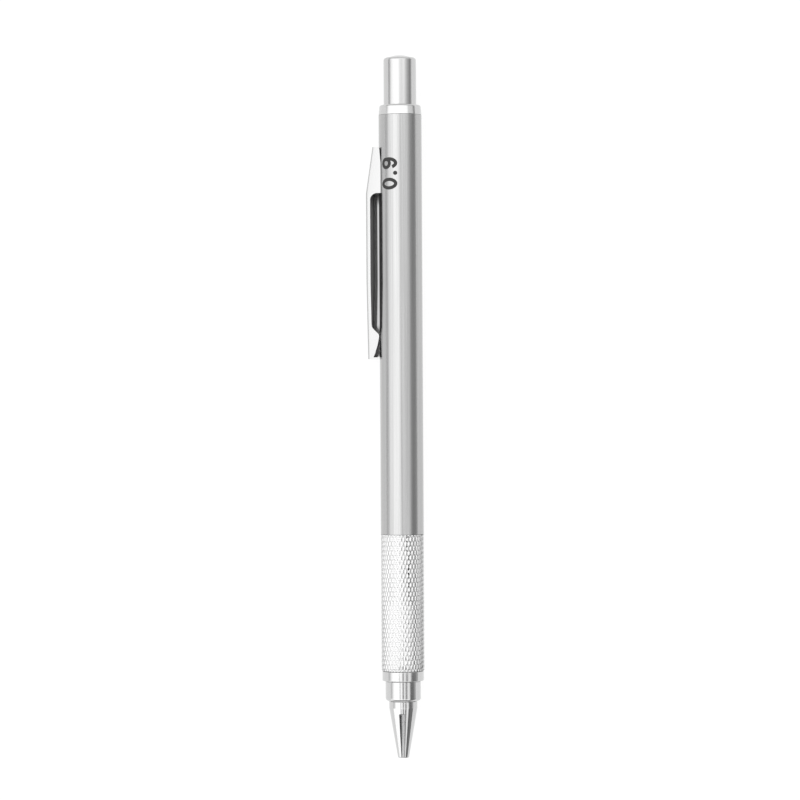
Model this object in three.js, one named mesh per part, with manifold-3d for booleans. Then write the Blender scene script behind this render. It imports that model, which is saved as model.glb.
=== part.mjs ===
// A push-button lead holder for 0.9 mm lead, lying on a surface with its clip turned down to it.
//
// Every turned piece is drawn in the holder's own frame: the axis is Y, the tip of the nose is at y = 0 and
// the top of the button is at y = LENGTH. The outer group then lays that frame on the surface z = 0 and
// centres it on the origin. All sizes are millimetres.
import * as THREE from "three";
import { mergeVertices } from "three/addons/utils/BufferGeometryUtils.js";
import Module from "manifold-3d";

const wasm = await Module();
wasm.setup();

// ---- Driving dimensions: the outside
const LENGTH = 142;
const BARREL_R = 4.35;
const BUTTON_R = 3.3;
const BUTTON_EDGE_R = 0.72;
const BUTTON_CROWN = 0.5; // how far its top is domed
const BUTTON_DOME_MID = 0.21; // how far the dome has fallen midway between its flat and its edge
const BUTTON_FLAT_R = 1.0; // the flat that the thumb presses
const RING_TOP = 131.75;
const RING_BASE = 129.95;
const RING_EDGE_R = 0.95;
const BARREL_BASE = 45.2;
const GRIP_BASE = 17.6;
const COLLAR_STEP = 15.6;
const COLLAR_BASE = 11.55;
const COLLAR_WIDE_R = 4.2;
const COLLAR_NARROW_R = 3.57;
const COLLAR_EDGE_R = 0.75;
const COLLAR_CHAMFER = 0.25;
const CONE_TOP = 11.45;
const CONE_SHOULDER = 10.1;
const CONE_TOP_R = 2.85;
const CONE_TIP_R = 1.1;
const TIP_EDGE_R = 0.3;

// ---- Driving dimensions: the inside
const SLIP = 0.05; // between two turned pieces that fit each other
const BARREL_BORE_R = 3.75;
const GRIP_BORE_R = 3.4;
const LEAD_R = 0.45;
const LEAD_LENGTH = 60;
const GUIDE_R = 0.74;
const GUIDE_BORE_R = 0.5;
const HOUSING_BORE_R = 2.15;
const TUBE_R = 2.6;
const TUBE_BORE_R = 2.2;
const TUBE_BASE = 35;
const TUBE_TOP = 133;
const JAW_HINGE = 26;
const JAW_GAP = 0.3;

// ---- Driving dimensions: the clip
const SHEET = 0.35;
const CLIP_TAIL = 80.65;
const CLIP_TOP = 123.45;
const CLIP_HEIGHT = 6.58; // outer face of the spine, from the holder's axis
const CLIP_TOP_HEIGHT = 5.18;
const CLIP_RAMP = 114.15; // where the spine starts to slope down to its top end
const CLIP_HALF = 2.8; // half its width
const CLIP_TAIL_HALF = 1.75;
const CLIP_TAPER = 96.15; // where it starts to narrow towards the tail
const CLIP_LIFT = 0.05; // its feet above the barrel
const CLIP_HINGE = 120.15;
const CLIP_HINGE_HEIGHT = 4.45;
const CLIP_ROCK = THREE.MathUtils.degToRad(5);
const ROCK_STEPS = 4;
const STUD_R = 0.22;
const FLOOR_GAP = 0.01;

// The clip is turned down until its outer corner just clears the surface.
const CORNER_REACH = Math.hypot(CLIP_HEIGHT, CLIP_HALF);
const CLIP_TURN =
  Math.asin((BARREL_R - FLOOR_GAP) / CORNER_REACH) - Math.atan2(CLIP_HALF, CLIP_HEIGHT);
const CLIP_REACH =
  CLIP_HEIGHT * Math.cos(CLIP_TURN) + CLIP_HALF * Math.sin(CLIP_TURN);
const AXIS_X = (CLIP_REACH - BARREL_R) / 2;

// ---- Facets
const OUTER_SIDES = 48;
const INNER_SIDES = 24;
const LEAD_SIDES = 12;
const ARC_STEPS = 4;

// ---- Materials
function finish(colour, roughness, metalness) {
  return new THREE.MeshStandardMaterial({ color: colour, roughness, metalness });
}
const brushedSteel = finish(0xb9b9b8, 0.35, 1);
const knurledSteel = finish(0xdcdcdb, 0.22, 1);
const chrome = finish(0xe9e9ea, 0.07, 1);
const turnedBrass = finish(0xc3a35c, 0.3, 1);
const springSteel = finish(0x9a9b9e, 0.3, 1);
const mouldedPlastic = finish(0x2c2d30, 0.5, 0);
const blackRubber = finish(0x1d1d1f, 0.85, 0);
const whiteEraser = finish(0xe8e6e1, 0.9, 0);
const graphite = finish(0x3b3c40, 0.45, 0.2);

// ---- Solids: manifold-3d joins and cuts, three.js makes the shapes
function solid(geometry) {
  geometry.deleteAttribute("normal");
  geometry.deleteAttribute("uv");
  const merged = mergeVertices(geometry, 1e-4);
  return new wasm.Manifold(
    new wasm.Mesh({
      numProp: 3,
      vertProperties: merged.attributes.position.array,
      triVerts: new Uint32Array(merged.index.array),
    }),
  );
}

function geometryOf(manifold) {
  const mesh = manifold.getMesh();
  return new THREE.BufferGeometry()
    .setAttribute("position", new THREE.BufferAttribute(mesh.vertProperties, 3))
    .setIndex(new THREE.BufferAttribute(mesh.triVerts, 1));
}

function add(parent, name, geometry, material) {
  const mesh = new THREE.Mesh(geometry, material);
  mesh.name = name;
  parent.add(mesh);
  return mesh;
}

// ---- Turned pieces
// Points [radius, y] of a quarter round from one point to another, bulging towards the corner between them.
function quarter(from, to, corner) {
  const points = [];
  for (let i = 0; i <= ARC_STEPS; i++) {
    const angle = (i / ARC_STEPS) * (Math.PI / 2);
    const centre = [from[0] + to[0] - corner[0], from[1] + to[1] - corner[1]];
    points.push([
      centre[0] + (from[0] - centre[0]) * Math.cos(angle) + (to[0] - centre[0]) * Math.sin(angle),
      centre[1] + (from[1] - centre[1]) * Math.cos(angle) + (to[1] - centre[1]) * Math.sin(angle),
    ]);
  }
  return points;
}

// A turned solid from its outline, which starts and ends on the axis or is closed here on itself. Outlines run
// up the outside and down the bore, so the faces point out.
function turned(outline, sides = OUTER_SIDES) {
  const points = outline.map(([radius, y]) => new THREE.Vector2(radius, y));
  if (outline[0][0] > 0) points.push(points[0].clone());
  return new THREE.LatheGeometry(points, sides);
}

function tube(outerR, boreR, base, top, sides = INNER_SIDES) {
  return turned([[boreR, base], [outerR, base], [outerR, top], [boreR, top]], sides);
}

// ---- Barrel, grip and top ring
const holder = new THREE.Group();
holder.position.set(AXIS_X, -LENGTH / 2, BARREL_R);

const BUSH_BASE = 39;
const BUSH_TOP = 51;
const BUSH_BORE_R = 2.95;
const SHOULDER_BASE = 25.4;
const SHOULDER_TOP = 27.4;
const SHOULDER_BORE_R = 3.0;
const SPIGOT_BASE = 124.5;

function buildBarrel() {
  add(holder, "barrel_tube",
    tube(BARREL_R, BARREL_BORE_R, BARREL_BASE, RING_BASE - SLIP, OUTER_SIDES), brushedSteel);
  add(holder, "grip_sleeve", turned([
    [GRIP_BORE_R, GRIP_BASE],
    [BARREL_R, GRIP_BASE],
    [BARREL_R, BARREL_BASE - SLIP],
    [GRIP_BORE_R, BARREL_BASE - SLIP],
    [GRIP_BORE_R, SHOULDER_TOP],
    [SHOULDER_BORE_R, SHOULDER_TOP],
    [SHOULDER_BORE_R, SHOULDER_BASE],
    [GRIP_BORE_R, SHOULDER_BASE],
  ]), knurledSteel);
  add(holder, "barrel_bush", turned([
    [BUSH_BORE_R, BUSH_BASE],
    [GRIP_BORE_R - SLIP, BUSH_BASE],
    [GRIP_BORE_R - SLIP, BARREL_BASE],
    [BARREL_BORE_R - SLIP, BARREL_BASE],
    [BARREL_BORE_R - SLIP, BUSH_TOP],
    [BUSH_BORE_R, BUSH_TOP],
  ]), turnedBrass);
  add(holder, "top_ring", turned([
    [BUTTON_R + 2 * SLIP, SPIGOT_BASE],
    [BARREL_BORE_R - SLIP, SPIGOT_BASE],
    [BARREL_BORE_R - SLIP, RING_BASE],
    [BARREL_R, RING_BASE],
    ...quarter([BARREL_R, RING_TOP - RING_EDGE_R], [BARREL_R - RING_EDGE_R, RING_TOP],
      [BARREL_R, RING_TOP]).slice(0, -1),
    [BUTTON_R + 2 * SLIP, RING_TOP],
  ]), chrome);
}

// ---- Nose
const SPIGOT_TOP = 14.5;
const SPIGOT_R = 2.4;
const SPIGOT_BORE_R = 1.98;
const COLLAR_TOP = 24.25;
const THREAD_R = 3.3;
const HOUSING_R = 2.5;
const POCKET_BASE = 9.95;
const POCKET_TOP = 11.55;
const POCKET_R = 1.45;
const SLOT_TOP = 8.95;
const SLOT_TOP_WIDTH = 1.15;
const SLOT_TIP_WIDTH = 0.55;
const SLOTS = 3;
const SLOT_TURN = THREE.MathUtils.degToRad(-7); // the first slot is turned a little away from straight up
const TIP_LIP = 0.15; // the guide sleeve ends this far inside the tip

// A wedge from the axis outwards, which cuts one slot of the nose.
function slotCutter(angle) {
  const past = 1;
  const outline = new THREE.Shape([
    new THREE.Vector2(-SLOT_TIP_WIDTH / 2, -past),
    new THREE.Vector2(SLOT_TIP_WIDTH / 2, -past),
    new THREE.Vector2(SLOT_TOP_WIDTH / 2, SLOT_TOP),
    new THREE.Vector2(-SLOT_TOP_WIDTH / 2, SLOT_TOP),
  ]);
  const wedge = new THREE.ExtrudeGeometry(outline, { depth: CONE_TOP_R + past, bevelEnabled: false });
  wedge.rotateY(angle);
  return solid(wedge);
}

function buildNose(parent) {
  let cone = solid(turned([
    [GUIDE_R + SLIP, 0],
    ...quarter([CONE_TIP_R - TIP_EDGE_R, 0], [CONE_TIP_R, TIP_EDGE_R], [CONE_TIP_R, 0]).slice(1),
    [CONE_TOP_R, CONE_SHOULDER],
    [CONE_TOP_R, CONE_TOP],
    [SPIGOT_R, CONE_TOP],
    [SPIGOT_R, SPIGOT_TOP],
    [SPIGOT_BORE_R, SPIGOT_TOP],
    [SPIGOT_BORE_R, POCKET_TOP],
    [POCKET_R, POCKET_TOP],
    [POCKET_R, POCKET_BASE],
    [GUIDE_R + SLIP, POCKET_BASE],
  ]));
  for (let i = 0; i < SLOTS; i++) {
    cone = cone.subtract(slotCutter(SLOT_TURN + (i * 2 * Math.PI) / SLOTS));
  }
  add(parent, "nose_cone", geometryOf(cone), chrome);
  add(parent, "nose_collar", turned([
    [SPIGOT_R + SLIP, COLLAR_BASE],
    ...quarter([COLLAR_NARROW_R - COLLAR_EDGE_R, COLLAR_BASE],
      [COLLAR_NARROW_R, COLLAR_BASE + COLLAR_EDGE_R], [COLLAR_NARROW_R, COLLAR_BASE]),
    [COLLAR_NARROW_R, COLLAR_STEP],
    [COLLAR_WIDE_R - COLLAR_CHAMFER, COLLAR_STEP],
    [COLLAR_WIDE_R, COLLAR_STEP + COLLAR_CHAMFER],
    [COLLAR_WIDE_R, GRIP_BASE - SLIP],
    [THREAD_R, GRIP_BASE - SLIP],
    [THREAD_R, COLLAR_TOP],
    [HOUSING_R + SLIP, COLLAR_TOP],
    [HOUSING_R + SLIP, SPIGOT_TOP + SLIP],
    [SPIGOT_R + SLIP, SPIGOT_TOP + SLIP],
  ]), chrome);
  add(parent, "lead_guide_sleeve", tube(GUIDE_R, GUIDE_BORE_R, TIP_LIP, POCKET_BASE - SLIP), chrome);
  add(parent, "lead_retainer",
    tube(POCKET_R - SLIP, GUIDE_BORE_R, POCKET_BASE + SLIP, POCKET_TOP - SLIP), blackRubber);
}

// ---- Clutch
const HOUSING_BASE = 14.8;
const HOUSING_TOP = 31;
const WEB_BASE = 20.6;
const WEB_TOP = 21.3;
const WEB_BORE_R = 1.5;
const FLANGE_BASE = 24.35;
const JAW_BASE = 15.5;
const JAW_HEAD_R = 1.6;
const JAW_HEAD = 1.1; // length of the jaws' thick end
const JAW_NECK = 2.1; // where its slope ends at the arm
const JAW_CHAMFER = 0.35;
const JAW_ARM_R = 1.1;
const JAW_BORE_R = 0.5;
const RING_IN_BASE = 16.9;
const RING_IN_TOP = 19.8;
const RING_IN_WAIST = 17.7; // where its cone for the jaws ends
const RING_IN_R = 1.35;
const JAWS = 3;
const BODY_ARM_R = 1.2;
const BODY_FLANGE = 30.6;
const BODY_TOP = 38;
const FUNNEL_R = 1.7; // the wide end of the funnel that leads the leads in
const SPRING_REST = 0.25; // from each seat to the middle of the wire
const SPRING_R = 1.72; // to the middle of the wire
const WIRE_R = 0.16;
const WIRE_SIDES = 6;
const SPRING_TURNS = 9;
const SPRING_STEPS = 12; // in each turn

class Coil extends THREE.Curve {
  constructor(radius, base, top, turns) {
    super();
    Object.assign(this, { radius, base, top, turns });
  }

  getPoint(t, target = new THREE.Vector3()) {
    const angle = t * this.turns * 2 * Math.PI;
    const y = this.base + t * (this.top - this.base);
    return target.set(this.radius * Math.cos(angle), y, this.radius * Math.sin(angle));
  }
}

// One jaw: a third of the turned clutch, pulled apart from its neighbours by the width of a saw cut.
function jaw(angle) {
  const whole = solid(turned([
    [JAW_BORE_R, JAW_BASE],
    [JAW_HEAD_R - JAW_CHAMFER, JAW_BASE],
    [JAW_HEAD_R, JAW_BASE + JAW_CHAMFER],
    [JAW_HEAD_R, JAW_BASE + JAW_HEAD],
    [JAW_ARM_R, JAW_BASE + JAW_NECK],
    [JAW_ARM_R, JAW_HINGE - 2 * SLIP],
    [JAW_BORE_R, JAW_HINGE - 2 * SLIP],
  ], INNER_SIDES));
  const far = 3 * JAW_HEAD_R;
  const half = Math.PI / JAWS;
  const apex = JAW_GAP / 2 / Math.sin(half);
  const sector = new THREE.Shape([
    new THREE.Vector2(apex, 0),
    new THREE.Vector2(apex + far * Math.cos(half), far * Math.sin(half)),
    new THREE.Vector2(apex + far, 0),
    new THREE.Vector2(apex + far * Math.cos(half), -far * Math.sin(half)),
  ]);
  const wedge = new THREE.ExtrudeGeometry(sector, { depth: JAW_HINGE, bevelEnabled: false });
  wedge.rotateX(-Math.PI / 2);
  wedge.translate(0, JAW_BASE - 1, 0);
  wedge.rotateY(-angle);
  return geometryOf(whole.intersect(solid(wedge)));
}

function buildClutch() {
  add(holder, "clutch_housing", turned([
    [HOUSING_BORE_R, HOUSING_BASE],
    [HOUSING_R, HOUSING_BASE],
    [HOUSING_R, FLANGE_BASE],
    [THREAD_R, FLANGE_BASE],
    [THREAD_R, SHOULDER_BASE - SLIP],
    [HOUSING_R, SHOULDER_BASE - SLIP],
    [HOUSING_R, HOUSING_TOP],
    [HOUSING_BORE_R, HOUSING_TOP],
    [HOUSING_BORE_R, WEB_TOP],
    [WEB_BORE_R, WEB_TOP],
    [WEB_BORE_R, WEB_BASE],
    [HOUSING_BORE_R, WEB_BASE],
  ], INNER_SIDES), mouldedPlastic);
  add(holder, "clutch_ring", turned([
    [JAW_HEAD_R, RING_IN_BASE],
    [HOUSING_BORE_R - SLIP, RING_IN_BASE],
    [HOUSING_BORE_R - SLIP, RING_IN_TOP],
    [RING_IN_R, RING_IN_TOP],
    [RING_IN_R, RING_IN_WAIST],
  ], INNER_SIDES), turnedBrass);
  for (let i = 0; i < JAWS; i++) {
    const angle = Math.PI / 2 + (i * 2 * Math.PI) / JAWS;
    add(holder, "clutch_jaw_" + (i + 1), jaw(angle), turnedBrass);
  }
  add(holder, "clutch_body", turned([
    [JAW_BORE_R, JAW_HINGE],
    [BODY_ARM_R, JAW_HINGE],
    [BODY_ARM_R, BODY_FLANGE],
    [HOUSING_BORE_R - 2 * SLIP, BODY_FLANGE],
    [HOUSING_BORE_R - 2 * SLIP, BODY_TOP],
    [FUNNEL_R, BODY_TOP],
    [JAW_BORE_R, BODY_FLANGE],
  ], INNER_SIDES), turnedBrass);
  const coil = new Coil(SPRING_R, WEB_TOP + SPRING_REST, BODY_FLANGE - SPRING_REST, SPRING_TURNS);
  const section = new THREE.Shape();
  for (let i = 0; i < WIRE_SIDES; i++) {
    const angle = (i / WIRE_SIDES) * 2 * Math.PI;
    const corner = [WIRE_R * Math.cos(angle), WIRE_R * Math.sin(angle)];
    if (i === 0) section.moveTo(...corner);
    else section.lineTo(...corner);
  }
  add(holder, "return_spring", new THREE.ExtrudeGeometry(section, {
    steps: SPRING_TURNS * SPRING_STEPS,
    extrudePath: coil,
  }), springSteel);
}

// ---- Reservoir, leads, eraser and button
const SPARE_RING_R = 1.35;
const SPARE_BASE = 48;
const SPARE_TURNS = [0.2, 0.62];
const PLUG_BASE = 128;
const PLUG_RIM = 0.8;
const ERASER_R = 1.85;
const ERASER_BASE = 128.3;
const ERASER_TOP = 137.5;
const ERASER_CHAMFER = 0.3;
const LEAD_TIP = 0.3; // the lead in use is drawn back this far inside the tip
const BUTTON_BASE = 125;
const BUTTON_BORE_R = 2.9;
const BUTTON_ROOF = 140.3;

function rod(radius, base, length, sides) {
  return turned([[0, base], [radius, base], [radius, base + length], [0, base + length]], sides);
}

function buildFeed() {
  add(holder, "lead_tube", tube(TUBE_R, TUBE_BORE_R, TUBE_BASE, TUBE_TOP), mouldedPlastic);
  add(holder, "lead_in_use", rod(LEAD_R, LEAD_TIP, LEAD_LENGTH, LEAD_SIDES), graphite);
  SPARE_TURNS.forEach((turn, i) => {
    const spare = rod(LEAD_R, SPARE_BASE, LEAD_LENGTH, LEAD_SIDES);
    const angle = turn * 2 * Math.PI;
    spare.translate(SPARE_RING_R * Math.cos(angle), 0, SPARE_RING_R * Math.sin(angle));
    add(holder, "spare_lead_" + (i + 1), spare, graphite);
  });
  add(holder, "eraser_holder", turned([
    [ERASER_R + SLIP, PLUG_BASE],
    [TUBE_BORE_R - SLIP, PLUG_BASE],
    [TUBE_BORE_R - SLIP, TUBE_TOP + SLIP],
    [TUBE_R, TUBE_TOP + SLIP],
    [TUBE_R, TUBE_TOP + PLUG_RIM],
    [ERASER_R + SLIP, TUBE_TOP + PLUG_RIM],
  ], INNER_SIDES), springSteel);
  add(holder, "eraser", turned([
    [0, ERASER_BASE],
    [ERASER_R, ERASER_BASE],
    [ERASER_R, ERASER_TOP - ERASER_CHAMFER],
    [ERASER_R - ERASER_CHAMFER, ERASER_TOP],
    [0, ERASER_TOP],
  ], INNER_SIDES), whiteEraser);
  const shoulder = LENGTH - BUTTON_CROWN;
  add(holder, "push_button", turned([
    [0, BUTTON_ROOF],
    [BUTTON_BORE_R, BUTTON_ROOF],
    [BUTTON_BORE_R, BUTTON_BASE],
    [BUTTON_R, BUTTON_BASE],
    ...quarter([BUTTON_R, shoulder - BUTTON_EDGE_R], [BUTTON_R - BUTTON_EDGE_R, shoulder],
      [BUTTON_R, shoulder]),
    [(BUTTON_FLAT_R + BUTTON_R - BUTTON_EDGE_R) / 2, LENGTH - BUTTON_DOME_MID],
    [BUTTON_FLAT_R, LENGTH],
    [0, LENGTH],
  ]), chrome);
}

// ---- Clip
// The clip is drawn standing up from the barrel: x is its width, y runs along the holder and z is the distance
// from the holder's axis. A group then turns it round the axis to its side of the barrel.
const ROCK_EDGE = 120.05; // the upper feet run from the ramp to this edge, on which the clip rocks
const ROCK_GAP = 0.4; // how far the top end stands off the barrel
const STRIP = 0.97; // side wall left beside the window
const WINDOW_BASE = 86.65;
const WINDOW_CORNER = 0.4; // chamfer at its lower end
const WINDOW_ARCH = [1.25, 1.4]; // length and height of the arch at its upper end
const TAIL_FOOT = [84.6, 85.4]; // the stretch where the tail's sides come nearest to the barrel
const TAIL_GAP = 0.2; // how far they stay off it there
const FLAP_HEIGHT = 3.9;
const FLAP_MARGIN = 0.1; // the tail flap is this much narrower than the tail on each side
const TAIL_CORNER = 5.36;
const TAIL_FOLD = [0.3, 1.2, 0.25, 0.6]; // near and far ends of the folded tail, along and down
const FLAP_ROOT = 1; // how far the tail flap overlaps the spine
const ANCHOR = [119.5, 120.8];
const ANCHOR_SHEET = 0.2;
const EAR_RISE = 0.4; // the ears rise this far past the hinge
const ANCHOR_HALF = 2.2;
const EAR = 0.5;
const LEAF_HALF = 1.2;
const LEAF_BEND = [1.6, 0.5]; // from the clip's top end to the leaf's bend and to its tip
const SPRING_SHEET = 0.12;
const BAR_SIDES = 16; // facets round a stud

function barrelHeight(across) {
  return Math.sqrt(BARREL_R ** 2 - across ** 2);
}

function halfWidth(y) {
  const share = Math.min(1, Math.max(0, (CLIP_TAPER - y) / (CLIP_TAPER - CLIP_TAIL)));
  return CLIP_HALF + share * (CLIP_TAIL_HALF - CLIP_HALF);
}

// A solid from an outline of [y, z] points, as wide as half on each side of the middle.
function sideways(outline, half) {
  const shape = new THREE.Shape(outline.map(([y, z]) => new THREE.Vector2(y, z)));
  const geometry = new THREE.ExtrudeGeometry(shape, { depth: 2 * half, bevelEnabled: false });
  // The outline's x becomes y and its y becomes z, so the depth runs along x.
  geometry.applyMatrix4(new THREE.Matrix4().makeBasis(
    new THREE.Vector3(0, 1, 0),
    new THREE.Vector3(0, 0, 1),
    new THREE.Vector3(1, 0, 0),
  ));
  geometry.translate(-half, 0, 0);
  return solid(geometry);
}

// A solid over the clip's plan, drawn in by a margin, from one height to another.
function planform(margin, low, high, base, top) {
  const right = [base, CLIP_TAPER, top].map((y) => new THREE.Vector2(halfWidth(y) - margin, y));
  const left = right.map((p) => new THREE.Vector2(-p.x, p.y)).reverse();
  const geometry = new THREE.ExtrudeGeometry(new THREE.Shape([...right, ...left]), {
    depth: high - low,
    bevelEnabled: false,
  });
  geometry.translate(0, 0, low);
  return solid(geometry);
}

// The barrel with a little room round it, as the clip sees it when it has rocked open by an angle.
function barrelUnderClip(angle) {
  const radius = BARREL_R + CLIP_LIFT;
  const length = 2 * (CLIP_TOP - CLIP_TAIL);
  const barrel = new THREE.CylinderGeometry(radius, radius, length, OUTER_SIDES);
  barrel.translate(0, (CLIP_TOP + CLIP_TAIL) / 2, 0);
  barrel.translate(0, -CLIP_HINGE, -CLIP_HINGE_HEIGHT);
  barrel.rotateX(angle);
  barrel.translate(0, CLIP_HINGE, CLIP_HINGE_HEIGHT);
  return solid(barrel);
}

function clipShape() {
  const upperFoot = barrelHeight(CLIP_HALF) + CLIP_LIFT;
  const tailFoot = barrelHeight(halfWidth(TAIL_FOOT[0])) + CLIP_LIFT + TAIL_GAP;
  const window = CLIP_HEIGHT - STRIP;
  const archBase = CLIP_RAMP - WINDOW_ARCH[0];
  const high = CLIP_HEIGHT + CLIP_HALF;
  const outer = sideways([
    [CLIP_TAIL, TAIL_CORNER],
    [TAIL_FOOT[0], tailFoot],
    [TAIL_FOOT[1], tailFoot],
    [WINDOW_BASE, window - WINDOW_CORNER / 2],
    [WINDOW_BASE + WINDOW_CORNER, window],
    [archBase, window],
    ...quarter([archBase, window], [CLIP_RAMP, window - WINDOW_ARCH[1]], [CLIP_RAMP, window]).slice(1),
    [CLIP_RAMP, upperFoot],
    [ROCK_EDGE, upperFoot],
    [CLIP_TOP, upperFoot + ROCK_GAP],
    [CLIP_TOP, CLIP_TOP_HEIGHT],
    [CLIP_RAMP, CLIP_HEIGHT],
    [CLIP_TAIL + TAIL_FOLD[1], CLIP_HEIGHT],
    [CLIP_TAIL + TAIL_FOLD[0], CLIP_HEIGHT - TAIL_FOLD[2]],
    [CLIP_TAIL, CLIP_HEIGHT - TAIL_FOLD[3]],
  ], CLIP_HALF + 1).intersect(planform(0, 0, high, CLIP_TAIL, CLIP_TOP));
  const past = 2;
  const slope = (CLIP_TOP_HEIGHT - CLIP_HEIGHT) / (CLIP_TOP - CLIP_RAMP);
  const channel = sideways([
    [CLIP_TAIL + SHEET, 0],
    [CLIP_TOP + past, 0],
    [CLIP_TOP + past, CLIP_TOP_HEIGHT - SHEET + slope * past],
    [CLIP_RAMP, CLIP_HEIGHT - SHEET],
    [CLIP_TAIL + SHEET + TAIL_FOLD[1], CLIP_HEIGHT - SHEET],
    [CLIP_TAIL + SHEET, CLIP_HEIGHT - SHEET - TAIL_FOLD[3]],
  ], CLIP_HALF).intersect(planform(SHEET, -1, high, CLIP_TAIL, CLIP_TOP + past));
  const flap = sideways([
    [CLIP_TAIL, FLAP_HEIGHT],
    [CLIP_TAIL + SHEET, FLAP_HEIGHT],
    [CLIP_TAIL + SHEET, CLIP_HEIGHT - FLAP_ROOT],
    [CLIP_TAIL, CLIP_HEIGHT - FLAP_ROOT],
  ], CLIP_TAIL_HALF - FLAP_MARGIN);
  let clip = outer.subtract(channel).add(flap);
  // The feet are fitted to the barrel, and stay clear of it as the clip rocks open.
  for (let i = 0; i <= ROCK_STEPS; i++) {
    clip = clip.subtract(barrelUnderClip((i / ROCK_STEPS) * CLIP_ROCK));
  }
  return clip;
}

// A short round bar across the clip, from one place across to another.
function crossBar(radius, from, to) {
  const bar = new THREE.CylinderGeometry(radius, radius, to - from, BAR_SIDES);
  bar.rotateZ(Math.PI / 2);
  bar.translate((from + to) / 2, CLIP_HINGE, CLIP_HINGE_HEIGHT);
  return bar;
}

function buildClip() {
  const clip = new THREE.Group();
  clip.rotation.y = -Math.PI / 2 - CLIP_TURN;
  holder.add(clip);
  add(clip, "clip", geometryOf(clipShape()), chrome);
  const inner = CLIP_HALF - SHEET - SLIP;
  add(clip, "clip_stud_left", crossBar(STUD_R, -inner, -ANCHOR_HALF + EAR), springSteel);
  add(clip, "clip_stud_right", crossBar(STUD_R, ANCHOR_HALF - EAR, inner), springSteel);

  const plateBase = BARREL_R + CLIP_LIFT;
  const plateTop = plateBase + ANCHOR_SHEET;
  const earBase = barrelHeight(ANCHOR_HALF - EAR) + CLIP_LIFT;
  const earTop = CLIP_HINGE_HEIGHT + EAR_RISE;
  const bracket = new THREE.Shape([
    [-ANCHOR_HALF, earBase],
    [-ANCHOR_HALF + EAR, earBase],
    [-ANCHOR_HALF + EAR, plateBase],
    [ANCHOR_HALF - EAR, plateBase],
    [ANCHOR_HALF - EAR, earBase],
    [ANCHOR_HALF, earBase],
    [ANCHOR_HALF, earTop],
    [ANCHOR_HALF - EAR, earTop],
    [ANCHOR_HALF - EAR, plateTop],
    [-ANCHOR_HALF + EAR, plateTop],
    [-ANCHOR_HALF + EAR, earTop],
    [-ANCHOR_HALF, earTop],
  ].map(([x, z]) => new THREE.Vector2(x, z)));
  const blank = new THREE.ExtrudeGeometry(bracket, { depth: ANCHOR[1] - ANCHOR[0], bevelEnabled: false });
  blank.rotateX(Math.PI / 2);
  blank.translate(0, ANCHOR[1], 0);
  const anchor = solid(blank).subtract(solid(crossBar(STUD_R + SLIP, -CLIP_HALF, CLIP_HALF)));
  add(clip, "clip_anchor", geometryOf(anchor), springSteel);

  const [bend, tip] = LEAF_BEND.map((back) => CLIP_TOP - back);
  const leaf = sideways([
    [ANCHOR[1] + SLIP, plateBase],
    [bend, plateBase],
    [tip, CLIP_TOP_HEIGHT - SHEET - SPRING_SHEET],
    [tip, CLIP_TOP_HEIGHT - SHEET],
    [bend - SPRING_SHEET, plateBase + SPRING_SHEET],
    [ANCHOR[1] + SLIP, plateBase + SPRING_SHEET],
  ], LEAF_HALF);
  add(clip, "clip_spring", geometryOf(leaf), springSteel);
}

buildBarrel();
buildNose(holder);
buildClutch();
buildFeed();
buildClip();

const group = new THREE.Group();
group.add(holder);

export default group;
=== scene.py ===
import math

import bmesh
import bpy
from mathutils import Matrix, Vector


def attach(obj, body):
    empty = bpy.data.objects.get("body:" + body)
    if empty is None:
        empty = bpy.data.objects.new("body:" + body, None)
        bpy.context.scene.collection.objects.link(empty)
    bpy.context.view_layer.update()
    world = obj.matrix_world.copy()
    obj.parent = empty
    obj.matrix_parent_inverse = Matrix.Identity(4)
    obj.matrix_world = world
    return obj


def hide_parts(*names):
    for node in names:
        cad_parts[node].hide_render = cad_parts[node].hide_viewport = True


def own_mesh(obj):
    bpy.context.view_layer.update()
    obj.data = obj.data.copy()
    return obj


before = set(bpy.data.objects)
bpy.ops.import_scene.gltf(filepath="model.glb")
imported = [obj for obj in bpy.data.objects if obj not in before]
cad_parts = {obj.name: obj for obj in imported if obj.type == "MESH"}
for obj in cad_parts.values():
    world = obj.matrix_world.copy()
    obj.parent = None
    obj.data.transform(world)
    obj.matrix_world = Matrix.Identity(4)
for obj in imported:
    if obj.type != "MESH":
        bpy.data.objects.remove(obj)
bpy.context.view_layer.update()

MM = 0.001
AXIS_X = 1.285415 * MM
AXIS_Z = 4.35 * MM
TIP_Y = -71 * MM
BARREL_R = 4.35
BARREL_BASE = 45.2
RING_BASE, RING_TOP = 129.95, 131.75
CLIP_TURN = math.radians(14.726)
AXIS = Vector((AXIS_X, 0, AXIS_Z))
# Sides of the turned pieces: those that show, the bush, and the small ones inside.
FINEST, FINE, PLAIN = 192, 160, 96


# ---- Finishes
class Value:
    """A number in a finish's node tree that takes part in arithmetic."""

    def __init__(self, finish, socket):
        self.finish = finish
        self.socket = socket

    def work(self, operation, first, second):
        return self.finish.node("ShaderNodeMath", {"operation": operation}, {0: first, 1: second})

    def __add__(self, other):
        return self.work("ADD", self, other)

    def __radd__(self, other):
        return self.work("ADD", other, self)

    def __sub__(self, other):
        return self.work("SUBTRACT", self, other)

    def __rsub__(self, other):
        return self.work("SUBTRACT", other, self)

    def __mul__(self, other):
        return self.work("MULTIPLY", self, other)

    def __rmul__(self, other):
        return self.work("MULTIPLY", other, self)

    def __truediv__(self, other):
        return self.work("DIVIDE", self, other)


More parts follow.
